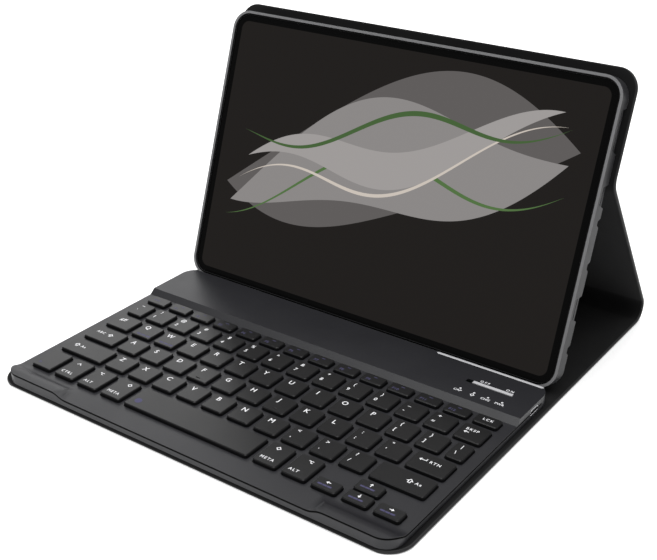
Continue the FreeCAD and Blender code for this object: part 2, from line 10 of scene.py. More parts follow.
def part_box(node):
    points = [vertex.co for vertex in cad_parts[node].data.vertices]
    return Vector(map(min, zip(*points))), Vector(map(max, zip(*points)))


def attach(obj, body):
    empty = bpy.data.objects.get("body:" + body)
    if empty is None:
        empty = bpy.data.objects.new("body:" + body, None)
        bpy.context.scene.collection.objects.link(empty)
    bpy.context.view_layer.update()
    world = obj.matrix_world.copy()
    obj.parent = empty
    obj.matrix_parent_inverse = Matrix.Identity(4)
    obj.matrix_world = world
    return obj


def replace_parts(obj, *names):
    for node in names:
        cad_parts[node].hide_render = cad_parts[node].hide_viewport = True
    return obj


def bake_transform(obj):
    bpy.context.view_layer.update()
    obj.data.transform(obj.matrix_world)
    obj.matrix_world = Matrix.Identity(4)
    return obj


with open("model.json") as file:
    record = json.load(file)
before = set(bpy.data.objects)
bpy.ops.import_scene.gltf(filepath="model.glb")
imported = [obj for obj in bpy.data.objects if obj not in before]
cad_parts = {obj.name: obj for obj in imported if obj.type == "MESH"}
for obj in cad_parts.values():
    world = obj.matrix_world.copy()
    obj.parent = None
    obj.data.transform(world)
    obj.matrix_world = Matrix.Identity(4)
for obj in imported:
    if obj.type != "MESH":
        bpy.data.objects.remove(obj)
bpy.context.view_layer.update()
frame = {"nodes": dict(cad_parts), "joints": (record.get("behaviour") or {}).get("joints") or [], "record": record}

MM = 0.001
JOINTS = {joint["name"]: joint for joint in frame["joints"]}

# Sizes of the folded cover, read from the frame
BASE_LOW, BASE_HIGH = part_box("base_skin")
HALF_WIDTH = BASE_HIGH.x
FRONT = BASE_LOW.y
BASE_END = BASE_HIGH.y
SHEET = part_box("base_lining")[1].z
SPINE_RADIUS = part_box("spine_skin")[1].y - BASE_END
SPINE_TURN = math.radians(2 * JOINTS["spine_fold"]["range_deg"][1])
FOLD = Vector(JOINTS["mid_fold"]["pos_m"])
UPPER_ANGLE = SPINE_TURN - math.radians(JOINTS["mid_fold"]["range_deg"][1])
LOWER_START = Vector((0, BASE_END + SPINE_RADIUS * math.sin(SPINE_TURN),
                      SPINE_RADIUS * (1 - math.cos(SPINE_TURN))))
LOWER_LENGTH = (FOLD - LOWER_START).length
LINING_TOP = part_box("upper_panel_lining")[1].z
UPPER_LENGTH = (LINING_TOP - FOLD.z - SHEET * math.cos(UPPER_ANGLE)) / math.sin(UPPER_ANGLE)

# Corners of the cover, and how far the soft mid fold reaches into both panels
COVER_CORNER = 14 * MM
TOP_CORNER = 12 * MM
FOLD_REACH = 5 * MM
LOWER_STOP = LOWER_LENGTH - FOLD_REACH

# Meshing of the new pieces
BEND_STEPS = 14
WELD_DISTANCE = 1e-7
SMOOTH_BELOW = math.radians(40)

# The upper panel's own directions: along it, and from its outer face towards the tablet's front
UP_PANEL = Vector((0, math.cos(UPPER_ANGLE), math.sin(UPPER_ANGLE)))
OUT_OF_PANEL = Vector((0, -math.sin(UPPER_ANGLE), math.cos(UPPER_ANGLE)))

# The photograph's camera
CAMERA_PLACE = Vector((0.3382, -0.4797, 0.3362))
CAMERA_AZIMUTH = math.radians(35.56)
CAMERA_ELEVATION = math.radians(26.48)
CAMERA_LENS = 63.55
CAMERA_SENSOR = 36.0
CAMERA_RANGE = (0.01, 50)

# Studio, in metres and watts
SKY_STRENGTH = 0.3
FLOOR_REACH = 5
FLOOR_LEVEL = -0.05 * MM
# Each softbox: name, place, target, size and power
SOFTBOXES = [
    ("softbox_over", (0, -0.1, 2.4), (0, -0.1, 0), (3.0, 3.7), 97),
    ("softbox_left", (-1.38, 1.16, 0.88), (0, 0, 0.05), (0.9, 0.8), 4.2),
]

# Outline of the tablet's front, in millimetres as its materials measure it
TABLET_CORNER = 10.0
SCREEN_CORNER = 5.0
LIP_MARGIN = 0.2
# Each ribbon or line of the screen's design, lowest first: colour, wave, half width and reach
RIBBONS = [
    ((0.115, 0.107, 0.105), (16, 0.26, 10, 250, 0.6), 41, 113),
    ((0.258, 0.245, 0.241), (10, 0.30, 13, 210, 2.4), 32, 108),
    ((0.085, 0.165, 0.055), (2, 0.24, 17, 190, 2.0), 1.3, 110),
    ((0.345, 0.327, 0.320), (20, 0.30, 12, 170, 4.4), 11, 100),
    ((0.600, 0.540, 0.480), (8, 0.33, 14, 170, 4.6), 1.0, 104),
    ((0.060, 0.120, 0.040), (33, 0.22, 9, 140, 1.2), 1.5, 106),
]

# Legends on the key tops
WHITE = 0
VIOLET = 1
INK = 0.02 * MM
LETTER = 3.3 * MM
SMALL_LETTER = 2.6 * MM
WORD = 2.0 * MM
WORD_SPACING = 1.3
LABEL = 1.8 * MM
LABEL_SPACING = 1.5
STROKE = 0.45 * MM
BROAD_STROKE = 1.1 * MM
CAP_SHARE = 0.72
LETTER_WEIGHT = 0.012
LETTER_CURVE_STEPS = 3
MITRE_LIMIT = 0.35
HOMING_KEYS = (3, 6)

# Keyboard case
CASE_CORNER = 10 * MM
KEY_RISE = 2 * MM
RIM_STEP = 1.5 * MM
RIM_INSET = 0.6 * MM
# Painted shade of the parting groove: a dark strip under the case's top edge
LINE_DROP = 0.65 * MM
LINE_WIDTH = 1.0 * MM
LINE_PROUD = 0.03 * MM
LINE_SUNK = 0.2 * MM
SHOULDER_REACH = 14.5 * MM
HUMP_BEVEL = 1.5 * MM
# Painted highlight: a bright strip along the right part of the hump's rear edge
EDGE_HIGHLIGHT_START = 59 * MM
EDGE_HIGHLIGHT_END = 125 * MM
EDGE_HIGHLIGHT_WIDTH = 1.8 * MM
EDGE_HIGHLIGHT_INSET = 0.1 * MM


def linked(name, data):
    """New object of this data, in the scene."""
    holder = bpy.data.objects.new(name, data)
    bpy.context.scene.collection.objects.link(holder)
    return holder


def aimed(name, data, place, direction):
    """New camera or light at a place, looking along a direction."""
    holder = linked(name, data)
    holder.location = place
    holder.rotation_mode = "QUATERNION"
    holder.rotation_quaternion = direction.to_track_quat("-Z", "Y")
    return holder


def make_camera():
    camera = bpy.data.cameras.new("photo_camera")
    camera.lens = CAMERA_LENS
    camera.sensor_width = CAMERA_SENSOR
    camera.clip_start, camera.clip_end = CAMERA_RANGE
    flat = math.cos(CAMERA_ELEVATION)
    back = Vector((math.sin(CAMERA_AZIMUTH) * flat, -math.cos(CAMERA_AZIMUTH) * flat,
                   math.sin(CAMERA_ELEVATION)))
    bpy.context.scene.camera = aimed("photo_camera", camera, CAMERA_PLACE, -back)


def make_softbox(name, place, target, size, power):
    light = bpy.data.lights.new(name, "AREA")
    light.shape = "RECTANGLE"
    light.size, light.size_y = size
    light.energy = power
    aimed(name, light, place, Vector(target) - Vector(place))


def make_floor():
    mesh = bpy.data.meshes.new("floor")
    signs = ((-1, -1), (1, -1), (1, 1), (-1, 1))
    corners = [(FLOOR_REACH * across, FLOOR_REACH * along, FLOOR_LEVEL) for across, along in signs]
    mesh.from_pydata(corners, [], [(0, 1, 2, 3)])
    floor = linked("floor", mesh)
    floor.data.materials.append(pale_floor())


def make_studio():
    world = bpy.data.worlds.new("studio")
    world.use_nodes = True
    background = world.node_tree.nodes["Background"]
    background.inputs["Color"].default_value = (1, 1, 1, 1)
    background.inputs["Strength"].default_value = SKY_STRENGTH
    bpy.context.scene.world = world
    bpy.context.scene.view_settings.view_transform = "Standard"
    for softbox in SOFTBOXES:
        make_softbox(*softbox)
    make_floor()


# Materials


def new_shader(name, colour, roughness, **sockets):
    """Principled material with these constants; words of a socket's name are joined by underscores."""
    material = bpy.data.materials.new(name)
    material.use_nodes = True
    surface = material.node_tree.nodes["Principled BSDF"]
    surface.inputs["Base Color"].default_value = (*colour, 1)
    surface.inputs["Roughness"].default_value = roughness
    for words, value in sockets.items():
        surface.inputs[words.replace("_", " ")].default_value = value
    return material, material.node_tree, surface


def feed(tree, socket, value):
    """Sets a socket to a number or a colour, or links it to another node's output."""
    if isinstance(value, (int, float)):
        socket.default_value = value
    elif isinstance(value, tuple):
        socket.default_value = (*value, 1)
    else:
        tree.links.new(value, socket)


def texture(tree, kind, scale, **inputs):
    place = tree.nodes.new("ShaderNodeTexCoord")
    node = tree.nodes.new(kind)
    node.inputs["Scale"].default_value = scale
    for words, value in inputs.items():
        node.inputs[words.replace("_", " ")].default_value = value
    tree.links.new(place.outputs["Object"], node.inputs["Vector"])
    return node


def uneven_colour(tree, colour, low, high, scale, detail=4.0):
    """Socket of a colour that drifts between two shares of itself."""
    noise = texture(tree, "ShaderNodeTexNoise", scale, Detail=detail)
    ramp = tree.nodes.new("ShaderNodeValToRGB")
    for element, share, factor in zip(ramp.color_ramp.elements, (0.3, 0.7), (low, high)):
        element.position = share
        element.color = (*[channel * factor for channel in colour], 1)
    tree.links.new(noise.outputs["Fac"], ramp.inputs["Fac"])
    return ramp.outputs["Color"]


def mottle(tree, surface, colour, spread, scale):
    """Slight unevenness of the colour, as moulded or woven stuff has."""
    shade = uneven_colour(tree, colour, 1 - spread, 1 + spread, scale)
    tree.links.new(shade, surface.inputs["Base Color"])


def uneven_gloss(tree, surface, low, high, scale):
    noise = texture(tree, "ShaderNodeTexNoise", scale, Detail=3.0)
    spread = tree.nodes.new("ShaderNodeMapRange")
    spread.inputs["To Min"].default_value = low
    spread.inputs["To Max"].default_value = high
    tree.links.new(noise.outputs["Fac"], spread.inputs["Value"])
    tree.links.new(spread.outputs["Result"], surface.inputs["Roughness"])


def relief(tree, surface, source, strength, depth):
    bump = tree.nodes.new("ShaderNodeBump")
    bump.inputs["Strength"].default_value = strength
    bump.inputs["Distance"].default_value = depth
    tree.links.new(source, bump.inputs["Height"])
    tree.links.new(bump.outputs["Normal"], surface.inputs["Normal"])


def maths(tree, operation, *values):
    node = tree.nodes.new("ShaderNodeMath")
    node.operation = operation
    for socket, value in zip(node.inputs, values):
        feed(tree, socket, value)
    return node.outputs["Value"]


def layer(tree, below, above, mask):
    """Lays one colour over another where the mask is 1."""
    mix = tree.nodes.new("ShaderNodeMix")
    mix.data_type = "RGBA"
    tree.links.new(mask, mix.inputs["Factor"])
    feed(tree, mix.inputs["A"], below)
    feed(tree, mix.inputs["B"], above)
    return mix.outputs["Result"]


def pale_floor():
    colour = (0.93, 0.93, 0.93)
    material, tree, surface = new_shader("pale_floor", colour, 0.9, Specular_IOR_Level=0.1,
                                         Emission_Strength=0.3, Emission_Color=(1, 1, 1, 1))
    mottle(tree, surface, colour, 0.005, 3)
    return material


def moulded(name, colour, rough, spread=0.06, grain=2600, strength=0.12, **sockets):
    """Spark-textured moulded plastic."""
    material, tree, surface = new_shader(name, colour, rough, **sockets)
    mottle(tree, surface, colour, spread, 35)
    uneven_gloss(tree, surface, rough - 0.04, rough + 0.06, 60)
    noise = texture(tree, "ShaderNodeTexNoise", grain, Detail=2.0)
    relief(tree, surface, noise.outputs["Fac"], strength, 0.05 * MM)
    return material


def leather():
    colour = (0.016, 0.016, 0.0165)
    material, tree, surface = new_shader("grained_leather", colour, 0.5, Specular_IOR_Level=0.25)
    mottle(tree, surface, colour, 0.18, 60)
    uneven_gloss(tree, surface, 0.42, 0.6, 250)
    cells = texture(tree, "ShaderNodeTexVoronoi", 900)
    cells.feature = "DISTANCE_TO_EDGE"
    relief(tree, surface, cells.outputs["Distance"], 0.35, 0.12 * MM)
    return material


def microfibre():
    colour = (0.0065, 0.0065, 0.0068)
    material, tree, surface = new_shader("brushed_lining", colour, 0.9, Specular_IOR_Level=0.12,
                                         Sheen_Weight=0.08, Sheen_Roughness=0.5)
    mottle(tree, surface, colour, 0.14, 90)
    fibres = texture(tree, "ShaderNodeTexNoise", 2200, Detail=3.0)
    relief(tree, surface, fibres.outputs["Fac"], 0.3, 0.08 * MM)
    return material


def panel_place(tree):
    """Sockets with the place across and up the tablet's front, in millimetres from its middle."""
    low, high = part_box("tablet_glass")
    place = tree.nodes.new("ShaderNodeTexCoord")
    turn = tree.nodes.new("ShaderNodeMapping")
    turn.vector_type = "TEXTURE"
    turn.inputs["Location"].default_value = (low + high) / 2
    turn.inputs["Rotation"].default_value = (UPPER_ANGLE, 0, 0)
    turn.inputs["Scale"].default_value = (MM, MM, MM)
    tree.links.new(place.outputs["Object"], turn.inputs["Vector"])
    parts = tree.nodes.new("ShaderNodeSeparateXYZ")
    tree.links.new(turn.outputs["Vector"], parts.inputs["Vector"])
    return parts.outputs["X"], parts.outputs["Y"]


def inside_outline(tree, across, up, margin, corner):
    """Mask of the tablet's rounded outline, drawn in by a margin; sizes in millimetres."""
    low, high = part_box("tablet_glass")
    half_width = high.x / MM - margin
    half_height = (high.z - low.z) / math.sin(UPPER_ANGLE) / MM / 2 - margin
    beyond = []
    for along, half in ((across, half_width), (up, half_height)):
        past = maths(tree, "SUBTRACT", maths(tree, "ABSOLUTE", along), half - corner)
        beyond.append(maths(tree, "POWER", maths(tree, "MAXIMUM", past, 0), 2))
    distance = maths(tree, "SQRT", maths(tree, "ADD", *beyond))
    return maths(tree, "LESS_THAN", distance, corner)


def facing_out(tree):
    """Socket that is 1 where a face looks straight out of the upper panel, and -1 where it looks back."""
    face = tree.nodes.new("ShaderNodeNewGeometry")
    own = tree.nodes.new("ShaderNodeVectorTransform")
    own.vector_type = "NORMAL"
    own.convert_from = "WORLD"
    own.convert_to = "OBJECT"
    tree.links.new(face.outputs["True Normal"], own.inputs["Vector"])
    facing = tree.nodes.new("ShaderNodeVectorMath")
    facing.operation = "DOT_PRODUCT"
    facing.inputs[1].default_value = OUT_OF_PANEL
    tree.links.new(own.outputs["Vector"], facing.inputs[0])
    return facing.outputs["Value"]


def clear_shell():
    """Smoky clear plastic with painted highlights on its front and back rims, dark where its lip lies over the
    glass.
    """
    wall = (0.030, 0.030, 0.032)
    painted_rim_highlight = (0.21, 0.21, 0.215)
    dark_lip = (0.0025, 0.0025, 0.0025)
    material, tree, surface = new_shader("clear_shell", wall, 0.3, Transmission_Weight=0.15, IOR=1.45,
                                         Specular_IOR_Level=0.05)
    facing = facing_out(tree)
    across, up = panel_place(tree)
    front = maths(tree, "GREATER_THAN", facing, 0.35)
    rear = maths(tree, "LESS_THAN", facing, -0.2)
    colour = uneven_colour(tree, wall, 0.8, 1.25, 25, 3.0)
    # Painted highlight: faces that look out of the panel or back into it get a pale rim colour
    colour = layer(tree, colour, painted_rim_highlight, maths(tree, "MAXIMUM", front, rear))
    over_glass = inside_outline(tree, across, up, LIP_MARGIN, TABLET_CORNER)
    colour = layer(tree, colour, dark_lip, maths(tree, "MULTIPLY", front, over_glass))
    tree.links.new(colour, surface.inputs["Base Color"])
    uneven_gloss(tree, surface, 0.26, 0.38, 120)
    return material


def metal(name, colour, rough, scale=400, metallic=1.0):
    material, tree, surface = new_shader(name, colour, rough, Metallic=metallic)
    mottle(tree, surface, colour, 0.05, scale)
    uneven_gloss(tree, surface, rough - 0.05, rough + 0.08, scale)
    return material


def ink(name, colour, gloss=0.2):
    material, tree, surface = new_shader(name, colour, 0.55, Specular_IOR_Level=gloss)
    mottle(tree, surface, colour, 0.05, 300)
    return material


# Materials that share one look wherever they are used
LEATHER = leather()
LINING = microfibre()
CASE = moulded("case_plastic", (0.0135, 0.0136, 0.0163), 0.36, Specular_IOR_Level=0.38)
KEYCAP = moulded("keycap_plastic", (0.0070, 0.0070, 0.0075), 0.3, Specular_IOR_Level=0.33)
# Silver paint of the power switch; the same bright colour is the painted highlight along the hump's rear edge
SILVER_AND_EDGE_HIGHLIGHT = metal("bright_metal_and_edge_highlight", (0.62, 0.62, 0.64), 0.4, metallic=0.3)
WHITE_INK = ink("white_legend", (0.78, 0.78, 0.80))
VIOLET_INK = ink("violet_legend", (0.060, 0.056, 0.120))
# Near-black paint standing in for the shade inside the case's parting groove
GROOVE_SHADE_PAINT = ink("painted_groove_shade", (0.0016, 0.0016, 0.0016), 0.02)


def screen():
    """Black glass round a dim picture of grey ribbons with green and cream lines."""
    black = (0.0012, 0.0012, 0.0012)
    material, tree, surface = new_shader("lit_screen", black, 0.12, Specular_IOR_Level=0.06)
    across, up = panel_place(tree)

    def wave(rise, slope, height, length, shift):
        """How far above a rising wavy line a point lies, in millimetres."""
        phase = maths(tree, "MULTIPLY_ADD", across, 2 * math.pi / length, shift)
        crest = maths(tree, "MULTIPLY", maths(tree, "SINE", phase), height)
        climb = maths(tree, "MULTIPLY_ADD", across, slope, rise)
        return maths(tree, "SUBTRACT", maths(tree, "SUBTRACT", up, climb), crest)

    def ribbon(distance, half, reach):
        """Mask of a ribbon about a wavy line, which narrows to nothing this far from the middle."""
        share = maths(tree, "MULTIPLY", across, 1 / reach)
        fullness = maths(tree, "SUBTRACT", 1, maths(tree, "MULTIPLY", share, share))
        width = maths(tree, "MULTIPLY", fullness, half)
        return maths(tree, "LESS_THAN", maths(tree, "ABSOLUTE", distance), width)

    picture = (0.0140, 0.0122, 0.0112)
    for colour, line, half, reach in RIBBONS:
        picture = layer(tree, picture, colour, ribbon(wave(*line), half, reach))
    margin = (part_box("tablet_glass")[1].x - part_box("tablet_display")[1].x) / MM
    shown = inside_outline(tree, across, up, margin, SCREEN_CORNER)
    tree.links.new(layer(tree, black, picture, shown), surface.inputs["Emission Color"])
    surface.inputs["Emission Strength"].default_value = 1.0
    uneven_gloss(tree, surface, 0.08, 0.16, 40)
    return material


def finish_cad_nodes():
    """Gives every CAD node the finish of its material slot."""
    finishes = {
        "leather": LEATHER,
        "lining": LINING,
        "stiff_board": moulded("pressed_board", (0.30, 0.28, 0.25), 0.85),
        "steel": metal("plain_steel", (0.55, 0.55, 0.56), 0.35),
        "clear_shell": clear_shell(),
        "adhesive": moulded("adhesive_film", (0.55, 0.53, 0.47), 0.4),
        "tablet_back": moulded("tablet_back", (0.012, 0.012, 0.013), 0.4),
        "display": moulded("display_panel", (0.01, 0.01, 0.01), 0.2),
        "screen_glass": screen(),
        "keyboard_case": CASE,
        "keycap": KEYCAP,
        "plate": metal("stamped_plate", (0.6, 0.6, 0.6), 0.4),
        "membrane": moulded("printed_film", (0.6, 0.62, 0.6), 0.5),
        "rubber": moulded("soft_rubber", (0.02, 0.02, 0.02), 0.75),
        "circuit": moulded("circuit_board", (0.02, 0.14, 0.06), 0.4),
        "cell": moulded("pouch_cell", (0.5, 0.5, 0.52), 0.35),
        "bright_metal": SILVER_AND_EDGE_HIGHLIGHT,
        "light_lens": moulded("milky_lens", (0.72, 0.72, 0.74), 0.3),
    }
    for part in frame["record"]["subparts"]:
        node = frame["nodes"][part["node"]]
        node.data.materials.clear()
        node.data.materials.append(finishes[part["material_slot"]])


# Cover: a thin sheet with rounded edges, swept along the fold line


class Station:
    """One cross-section of the sheet: its outer face's place, its direction, and its width and fullness."""

    def __init__(self, y, z, angle, half_width=HALF_WIDTH, fullness=1.0):
        self.y = y
        self.z = z
        self.angle = angle
        self.half_width = half_width
        self.fullness = fullness

    def point(self, x, depth):
        """Point at this x and this far in from the outer face."""
        return (x, self.y - depth * math.sin(self.angle), self.z + depth * math.cos(self.angle))


def lofted(rings, closed=False):
    """Points and faces of a skin through rings of points, with caps at its ends unless it is closed."""
    size = len(rings[0])
    points = [point for ring in rings for point in ring]
    faces = []
    for row in range(len(rings) if closed else len(rings) - 1):
        here = row * size
        there = (row + 1) % len(rings) * size
        for side in range(size):
            after = (side + 1) % size
            faces.append((here + side, there + side, there + after, here + after))
    if not closed:
        faces.append(tuple(range(size)))
        faces.append(tuple(len(points) - 1 - side for side in range(size)))
    return points, faces


def smooth_by_angle(mesh):
    mesh.shade_smooth()
    mesh.set_sharp_from_angle(angle=SMOOTH_BELOW)


def swept_sheet(name, stations, columns=16, edge_steps=6):
    """Closed sheet through the stations: leather outside and round its edges, lining inside."""
    half = SHEET / 2
    turns = [-math.pi / 2 + math.pi * step / edge_steps for step in range(1, edge_steps)]
    rings = []
    for station in stations:
        flat = station.half_width - half
        thick = half * station.fullness
        across = [-flat + 2 * flat * step / columns for step in range(columns + 1)]
        edge = [(flat + half * math.cos(turn), thick * math.sin(turn)) for turn in turns]
        ring = [station.point(x, half - thick) for x in across]
        ring += [station.point(x, half + depth) for x, depth in edge]
        ring += [station.point(x, half + thick) for x in reversed(across)]
        ring += [station.point(-x, half - depth) for x, depth in edge]
        rings.append(ring)
    points, faces = lofted(rings)
    mesh = bpy.data.meshes.new(name)
    mesh.from_pydata(points, [], faces)
    lining_first = columns + edge_steps
    for row in range(len(rings) - 1):
        for step in range(lining_first, lining_first + columns):
            mesh.polygons[row * len(rings[0]) + step].material_index = 1
    form = bmesh.new()
    form.from_mesh(mesh)
    bmesh.ops.remove_doubles(form, verts=form.verts, dist=WELD_DISTANCE)
    bmesh.ops.recalc_face_normals(form, faces=form.faces)
    form.to_mesh(mesh)
    form.free()
    mesh.materials.append(LEATHER)
    mesh.materials.append(LINING)
    smooth_by_angle(mesh)
    return linked(name, mesh)


def end_stations(place, corner, tip_steps=5, corner_steps=14, crowding=1.6, thinnest=0.02):
    """Stations over a free end with rounded corners, from the tip inwards; place gives y, z and angle."""
    half = SHEET / 2
    distances = [half * (1 - math.cos(math.pi / 2 * step / tip_steps)) for step in range(tip_steps)]
    for step in range(corner_steps + 1):
        distances.append(half + (corner - half) * (step / corner_steps) ** crowding)
    stations = []
    for distance in distances:
        narrowed = corner - math.sqrt(corner ** 2 - (corner - distance) ** 2)
        rise = min(distance, half)
        fullness = math.sqrt(half ** 2 - (half - rise) ** 2) / half
        stations.append(Station(*place(distance), HALF_WIDTH - narrowed, max(fullness, thinnest)))
    return stations


def on_base(along):
    """Place on the base's outer face, this far from its front: y, z and angle."""
    return (FRONT + along, 0, 0)


def on_lower(along):
    """Place on the lower panel's outer face, this far from the spine: y, z and angle."""
    y = LOWER_START.y + along * math.cos(SPINE_TURN)
    z = LOWER_START.z + along * math.sin(SPINE_TURN)
    return (y, z, SPINE_TURN)


def on_upper(along):
    """Place on the upper panel's outer face, this far from the mid fold: y, z and angle."""
    place = FOLD + UP_PANEL * along
    return (place.y, place.z, UPPER_ANGLE)


def bend_ends(stations):
    """Mid-points of a bent sheet's two ends, each drawn in by half the sheet's thickness."""
    start, end = [Vector(station.point(0, SHEET / 2)) for station in (stations[0], stations[-1])]
    inset = (end - start).normalized() * SHEET / 2
    return start + inset, end - inset


def make_cover_base():
    stations = end_stations(on_base, COVER_CORNER)
    run = BASE_END - FRONT
    stations += [Station(*on_base(run * share)) for share in (0.2, 0.4, 0.6, 0.8, 1.0)]
    piece = swept_sheet("cover_base", stations)
    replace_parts(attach(piece, "base"), "base_skin", "base_lining")


def make_cover_spine():
    """The spine in two halves, each a sheet swept round its half of the spine's bend."""
    halves = (("cover_spine_rear", "base", "spine", 0), ("cover_spine_riser", "spine", "lower_panel", 0.5))
    for (name, before, after, share), node in zip(halves, ("spine_skin", "spine_lining")):
        stations = []
        for step in range(BEND_STEPS + 1):
            turn = SPINE_TURN * (share + 0.5 * step / BEND_STEPS)
            y = BASE_END + SPINE_RADIUS * math.sin(turn)
            stations.append(Station(y, SPINE_RADIUS * (1 - math.cos(turn)), turn))
        piece = swept_sheet(name, stations)
        start, end = bend_ends(stations)
        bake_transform(piece)
        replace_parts(piece, node)


def make_cover_lower_panel():
    stations = [Station(*on_lower(LOWER_STOP * share)) for share in (0, 0.25, 0.5, 0.75, 1)]
    piece = swept_sheet("cover_lower_panel", stations)
    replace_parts(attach(piece, "lower_panel"), "lower_panel_skin", "lower_panel_lining")


def make_cover_mid_fold():
    """Soft bend between the two panels, on a curve whose control point is the fold."""
    first_end = Vector((0, *on_lower(LOWER_STOP)[:2]))
    last_end = Vector((0, *on_upper(FOLD_REACH)[:2]))
    stations = []
    for step in range(BEND_STEPS + 1):
        share = step / BEND_STEPS
        first = first_end.lerp(FOLD, share)
        second = FOLD.lerp(last_end, share)
        place = first.lerp(second, share)
        slope = second - first
        stations.append(Station(place.y, place.z, math.atan2(slope.z, slope.y)))
    piece = swept_sheet("cover_mid_fold", stations)
    start, end = bend_ends(stations)
    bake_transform(piece)


def make_cover_upper_panel():
    stations = end_stations(lambda along: on_upper(UPPER_LENGTH - along), TOP_CORNER)
    run = UPPER_LENGTH - TOP_CORNER - FOLD_REACH
    stations += [Station(*on_upper(FOLD_REACH + run * share)) for share in (0.75, 0.5, 0.25, 0)]
    piece = swept_sheet("cover_upper_panel", stations)
    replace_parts(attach(piece, "upper_panel"), "upper_panel_skin", "upper_panel_lining")


# Legends: thin ink on the key tops


def mitres(path, closed, half):
    """Steps to the left of each point of a path that keep a line even in width round its corners."""
    count = len(path)
    steps = []
    for spot in range(count):
        before = path[spot] - path[spot - 1]
        after = path[(spot + 1) % count] - path[spot]
        if not closed and spot == 0:
            before = after
        if not closed and spot == count - 1:
            after = before
        first, second = [Vector((-way.y, way.x)).normalized() for way in (before, after)]
        middle = (first + second).normalized()
        steps.append(middle * half / max(middle.dot(first), MITRE_LIMIT))
    return steps


def letter_mesh(words, align, spacing):
    """Points and faces of words in the built-in face, at a font size of one unit."""
    curve = bpy.data.curves.new("letters", "FONT")
    curve.body = words
    curve.align_x = align
    curve.align_y = "CENTER"
    curve.space_character = spacing
    curve.resolution_u = LETTER_CURVE_STEPS
    curve.extrude = INK / (LETTER / CAP_SHARE) / 2
    curve.offset = LETTER_WEIGHT
    holder = linked("letters", curve)
    bpy.context.view_layer.update()
    shaped = holder.evaluated_get(bpy.context.evaluated_depsgraph_get())
    mesh = bpy.data.meshes.new_from_object(shaped)
    points = [tuple(vertex.co) for vertex in mesh.vertices]
    faces = [tuple(polygon.vertices) for polygon in mesh.polygons]
    bpy.data.objects.remove(holder)
    return points, faces


class Inking:
    """Collects letters and signs that lie on one body, and makes one mesh of them."""

    letters = {}

    def __init__(self, name, body, level):
        self.name = name
        self.body = body
        self.level = level
        self.points = []
        self.faces = []
        self.inks = []

    def add(self, points, faces, index):
        first = len(self.points)
        self.points += points
        self.faces += [tuple(first + corner for corner in face) for face in faces]
        self.inks += [index] * len(faces)

    def text(self, words, x, y, height, index=WHITE, align="LEFT", spacing=1.0):
        key = (words, align, spacing)
        if key not in self.letters:
            self.letters[key] = letter_mesh(*key)
        points, faces = self.letters[key]
        scale = height / CAP_SHARE
        moved = []
        for px, py, pz in points:
            lift = INK if pz > 0 else 0
            moved.append((x + px * scale, y + py * scale, self.level + lift))
        self.add(moved, faces, index)

    def plate(self, outline, index=WHITE):
        """Flat shape from its corners, in order."""
        count = len(outline)
        points = [(px, py, self.level + lift) for lift in (0, INK) for px, py in outline]
        faces = [tuple(reversed(range(count))), tuple(range(count, 2 * count))]
        for step in range(count):
            after = (step + 1) % count
            faces.append((step, after, count + after, count + step))
        self.add(points, faces, index)

    def strokes(self, lines, x, y, size, index=WHITE, width=STROKE):
        """Sign of lines with mitred corners, drawn in a box from -1 to 1 about x and y."""
        for order, line in enumerate(lines):
            path = [Vector((x + across * size, y + along * size)) for across, along in line]
            closed = line[0] == line[-1]
            if closed:
                path.pop()
            else:
                path[0] -= (path[1] - path[0]).normalized() * width / 2
                path[-1] += (path[-1] - path[-2]).normalized() * width / 2
            # Lines that cross lie at slightly different heights
            top = self.level + INK * (1 + 0.2 * order)
            rings = []
            for place, side in zip(path, mitres(path, closed, width / 2)):
                right, left = place - side, place + side
                rings.append([(*right, self.level), (*right, top), (*left, top), (*left, self.level)])
            self.add(*lofted(rings, closed), index)

    def disc(self, x, y, radius, index=WHITE, sides=20):
        turns = [2 * math.pi * step / sides for step in range(sides)]
        self.plate([(x + radius * math.cos(turn), y + radius * math.sin(turn)) for turn in turns], index)

    def make(self):
        mesh = bpy.data.meshes.new(self.name)
        mesh.from_pydata(self.points, [], self.faces)
        mesh.materials.append(WHITE_INK)
        mesh.materials.append(VIOLET_INK)
        for polygon, index in zip(mesh.polygons, self.inks):
            polygon.material_index = index
        piece = linked(self.name, mesh)
        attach(piece, self.body)


def key_rectangles(node):
    """Rectangles of the key tops in a node, from the left: left, right, front and rear."""
    mesh = frame["nodes"][node].data
    low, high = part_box(node)
    spans = []
    for polygon in mesh.polygons:
        across = [mesh.vertices[index].co.x for index in polygon.vertices]
        spans.append((min(across), max(across)))
    merged = []
    for start, end in sorted(spans):
        if merged and start < merged[-1][1] + 0.5 * MM:
            merged[-1][1] = max(merged[-1][1], end)
        else:
            merged.append([start, end])
    return [(start, end, low.y, high.y) for start, end in merged]


def key_inking(node):
    return Inking("legend_" + node, node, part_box(node)[1].z)


# Signs as lines through points, in a box from -1 to 1
ARROW_LEFT = [[(1, 0), (-1, 0)], [(-0.3, 0.6), (-1, 0), (-0.3, -0.6)]]
ARROW_RIGHT = [[(-1, 0), (1, 0)], [(0.3, 0.6), (1, 0), (0.3, -0.6)]]
ARROW_UP = [[(0, -1), (0, 1)], [(-0.6, 0.3), (0, 1), (0.6, 0.3)]]
ARROW_DOWN = [[(0, 1), (0, -1)], [(-0.6, -0.3), (0, -1), (0.6, -0.3)]]
CARET = [[(-1, -0.5), (0, 0.6), (1, -0.5)]]
DASH = [[(-1, 0), (1, 0)]]
DASHES = [[(-1, 0), (-0.6, 0)], [(-0.2, 0), (0.2, 0)], [(0.6, 0), (1, 0)]]
DIAMOND_SIGN = [[(-1, 0), (0, 1), (1, 0), (0, -1), (-1, 0)]]
STEP_SIGN = [[(-1, 0.6), (-0.3, 0.6), (0.3, -0.6), (1, -0.6)], [(0.3, 0.6), (1, 0.6)]]
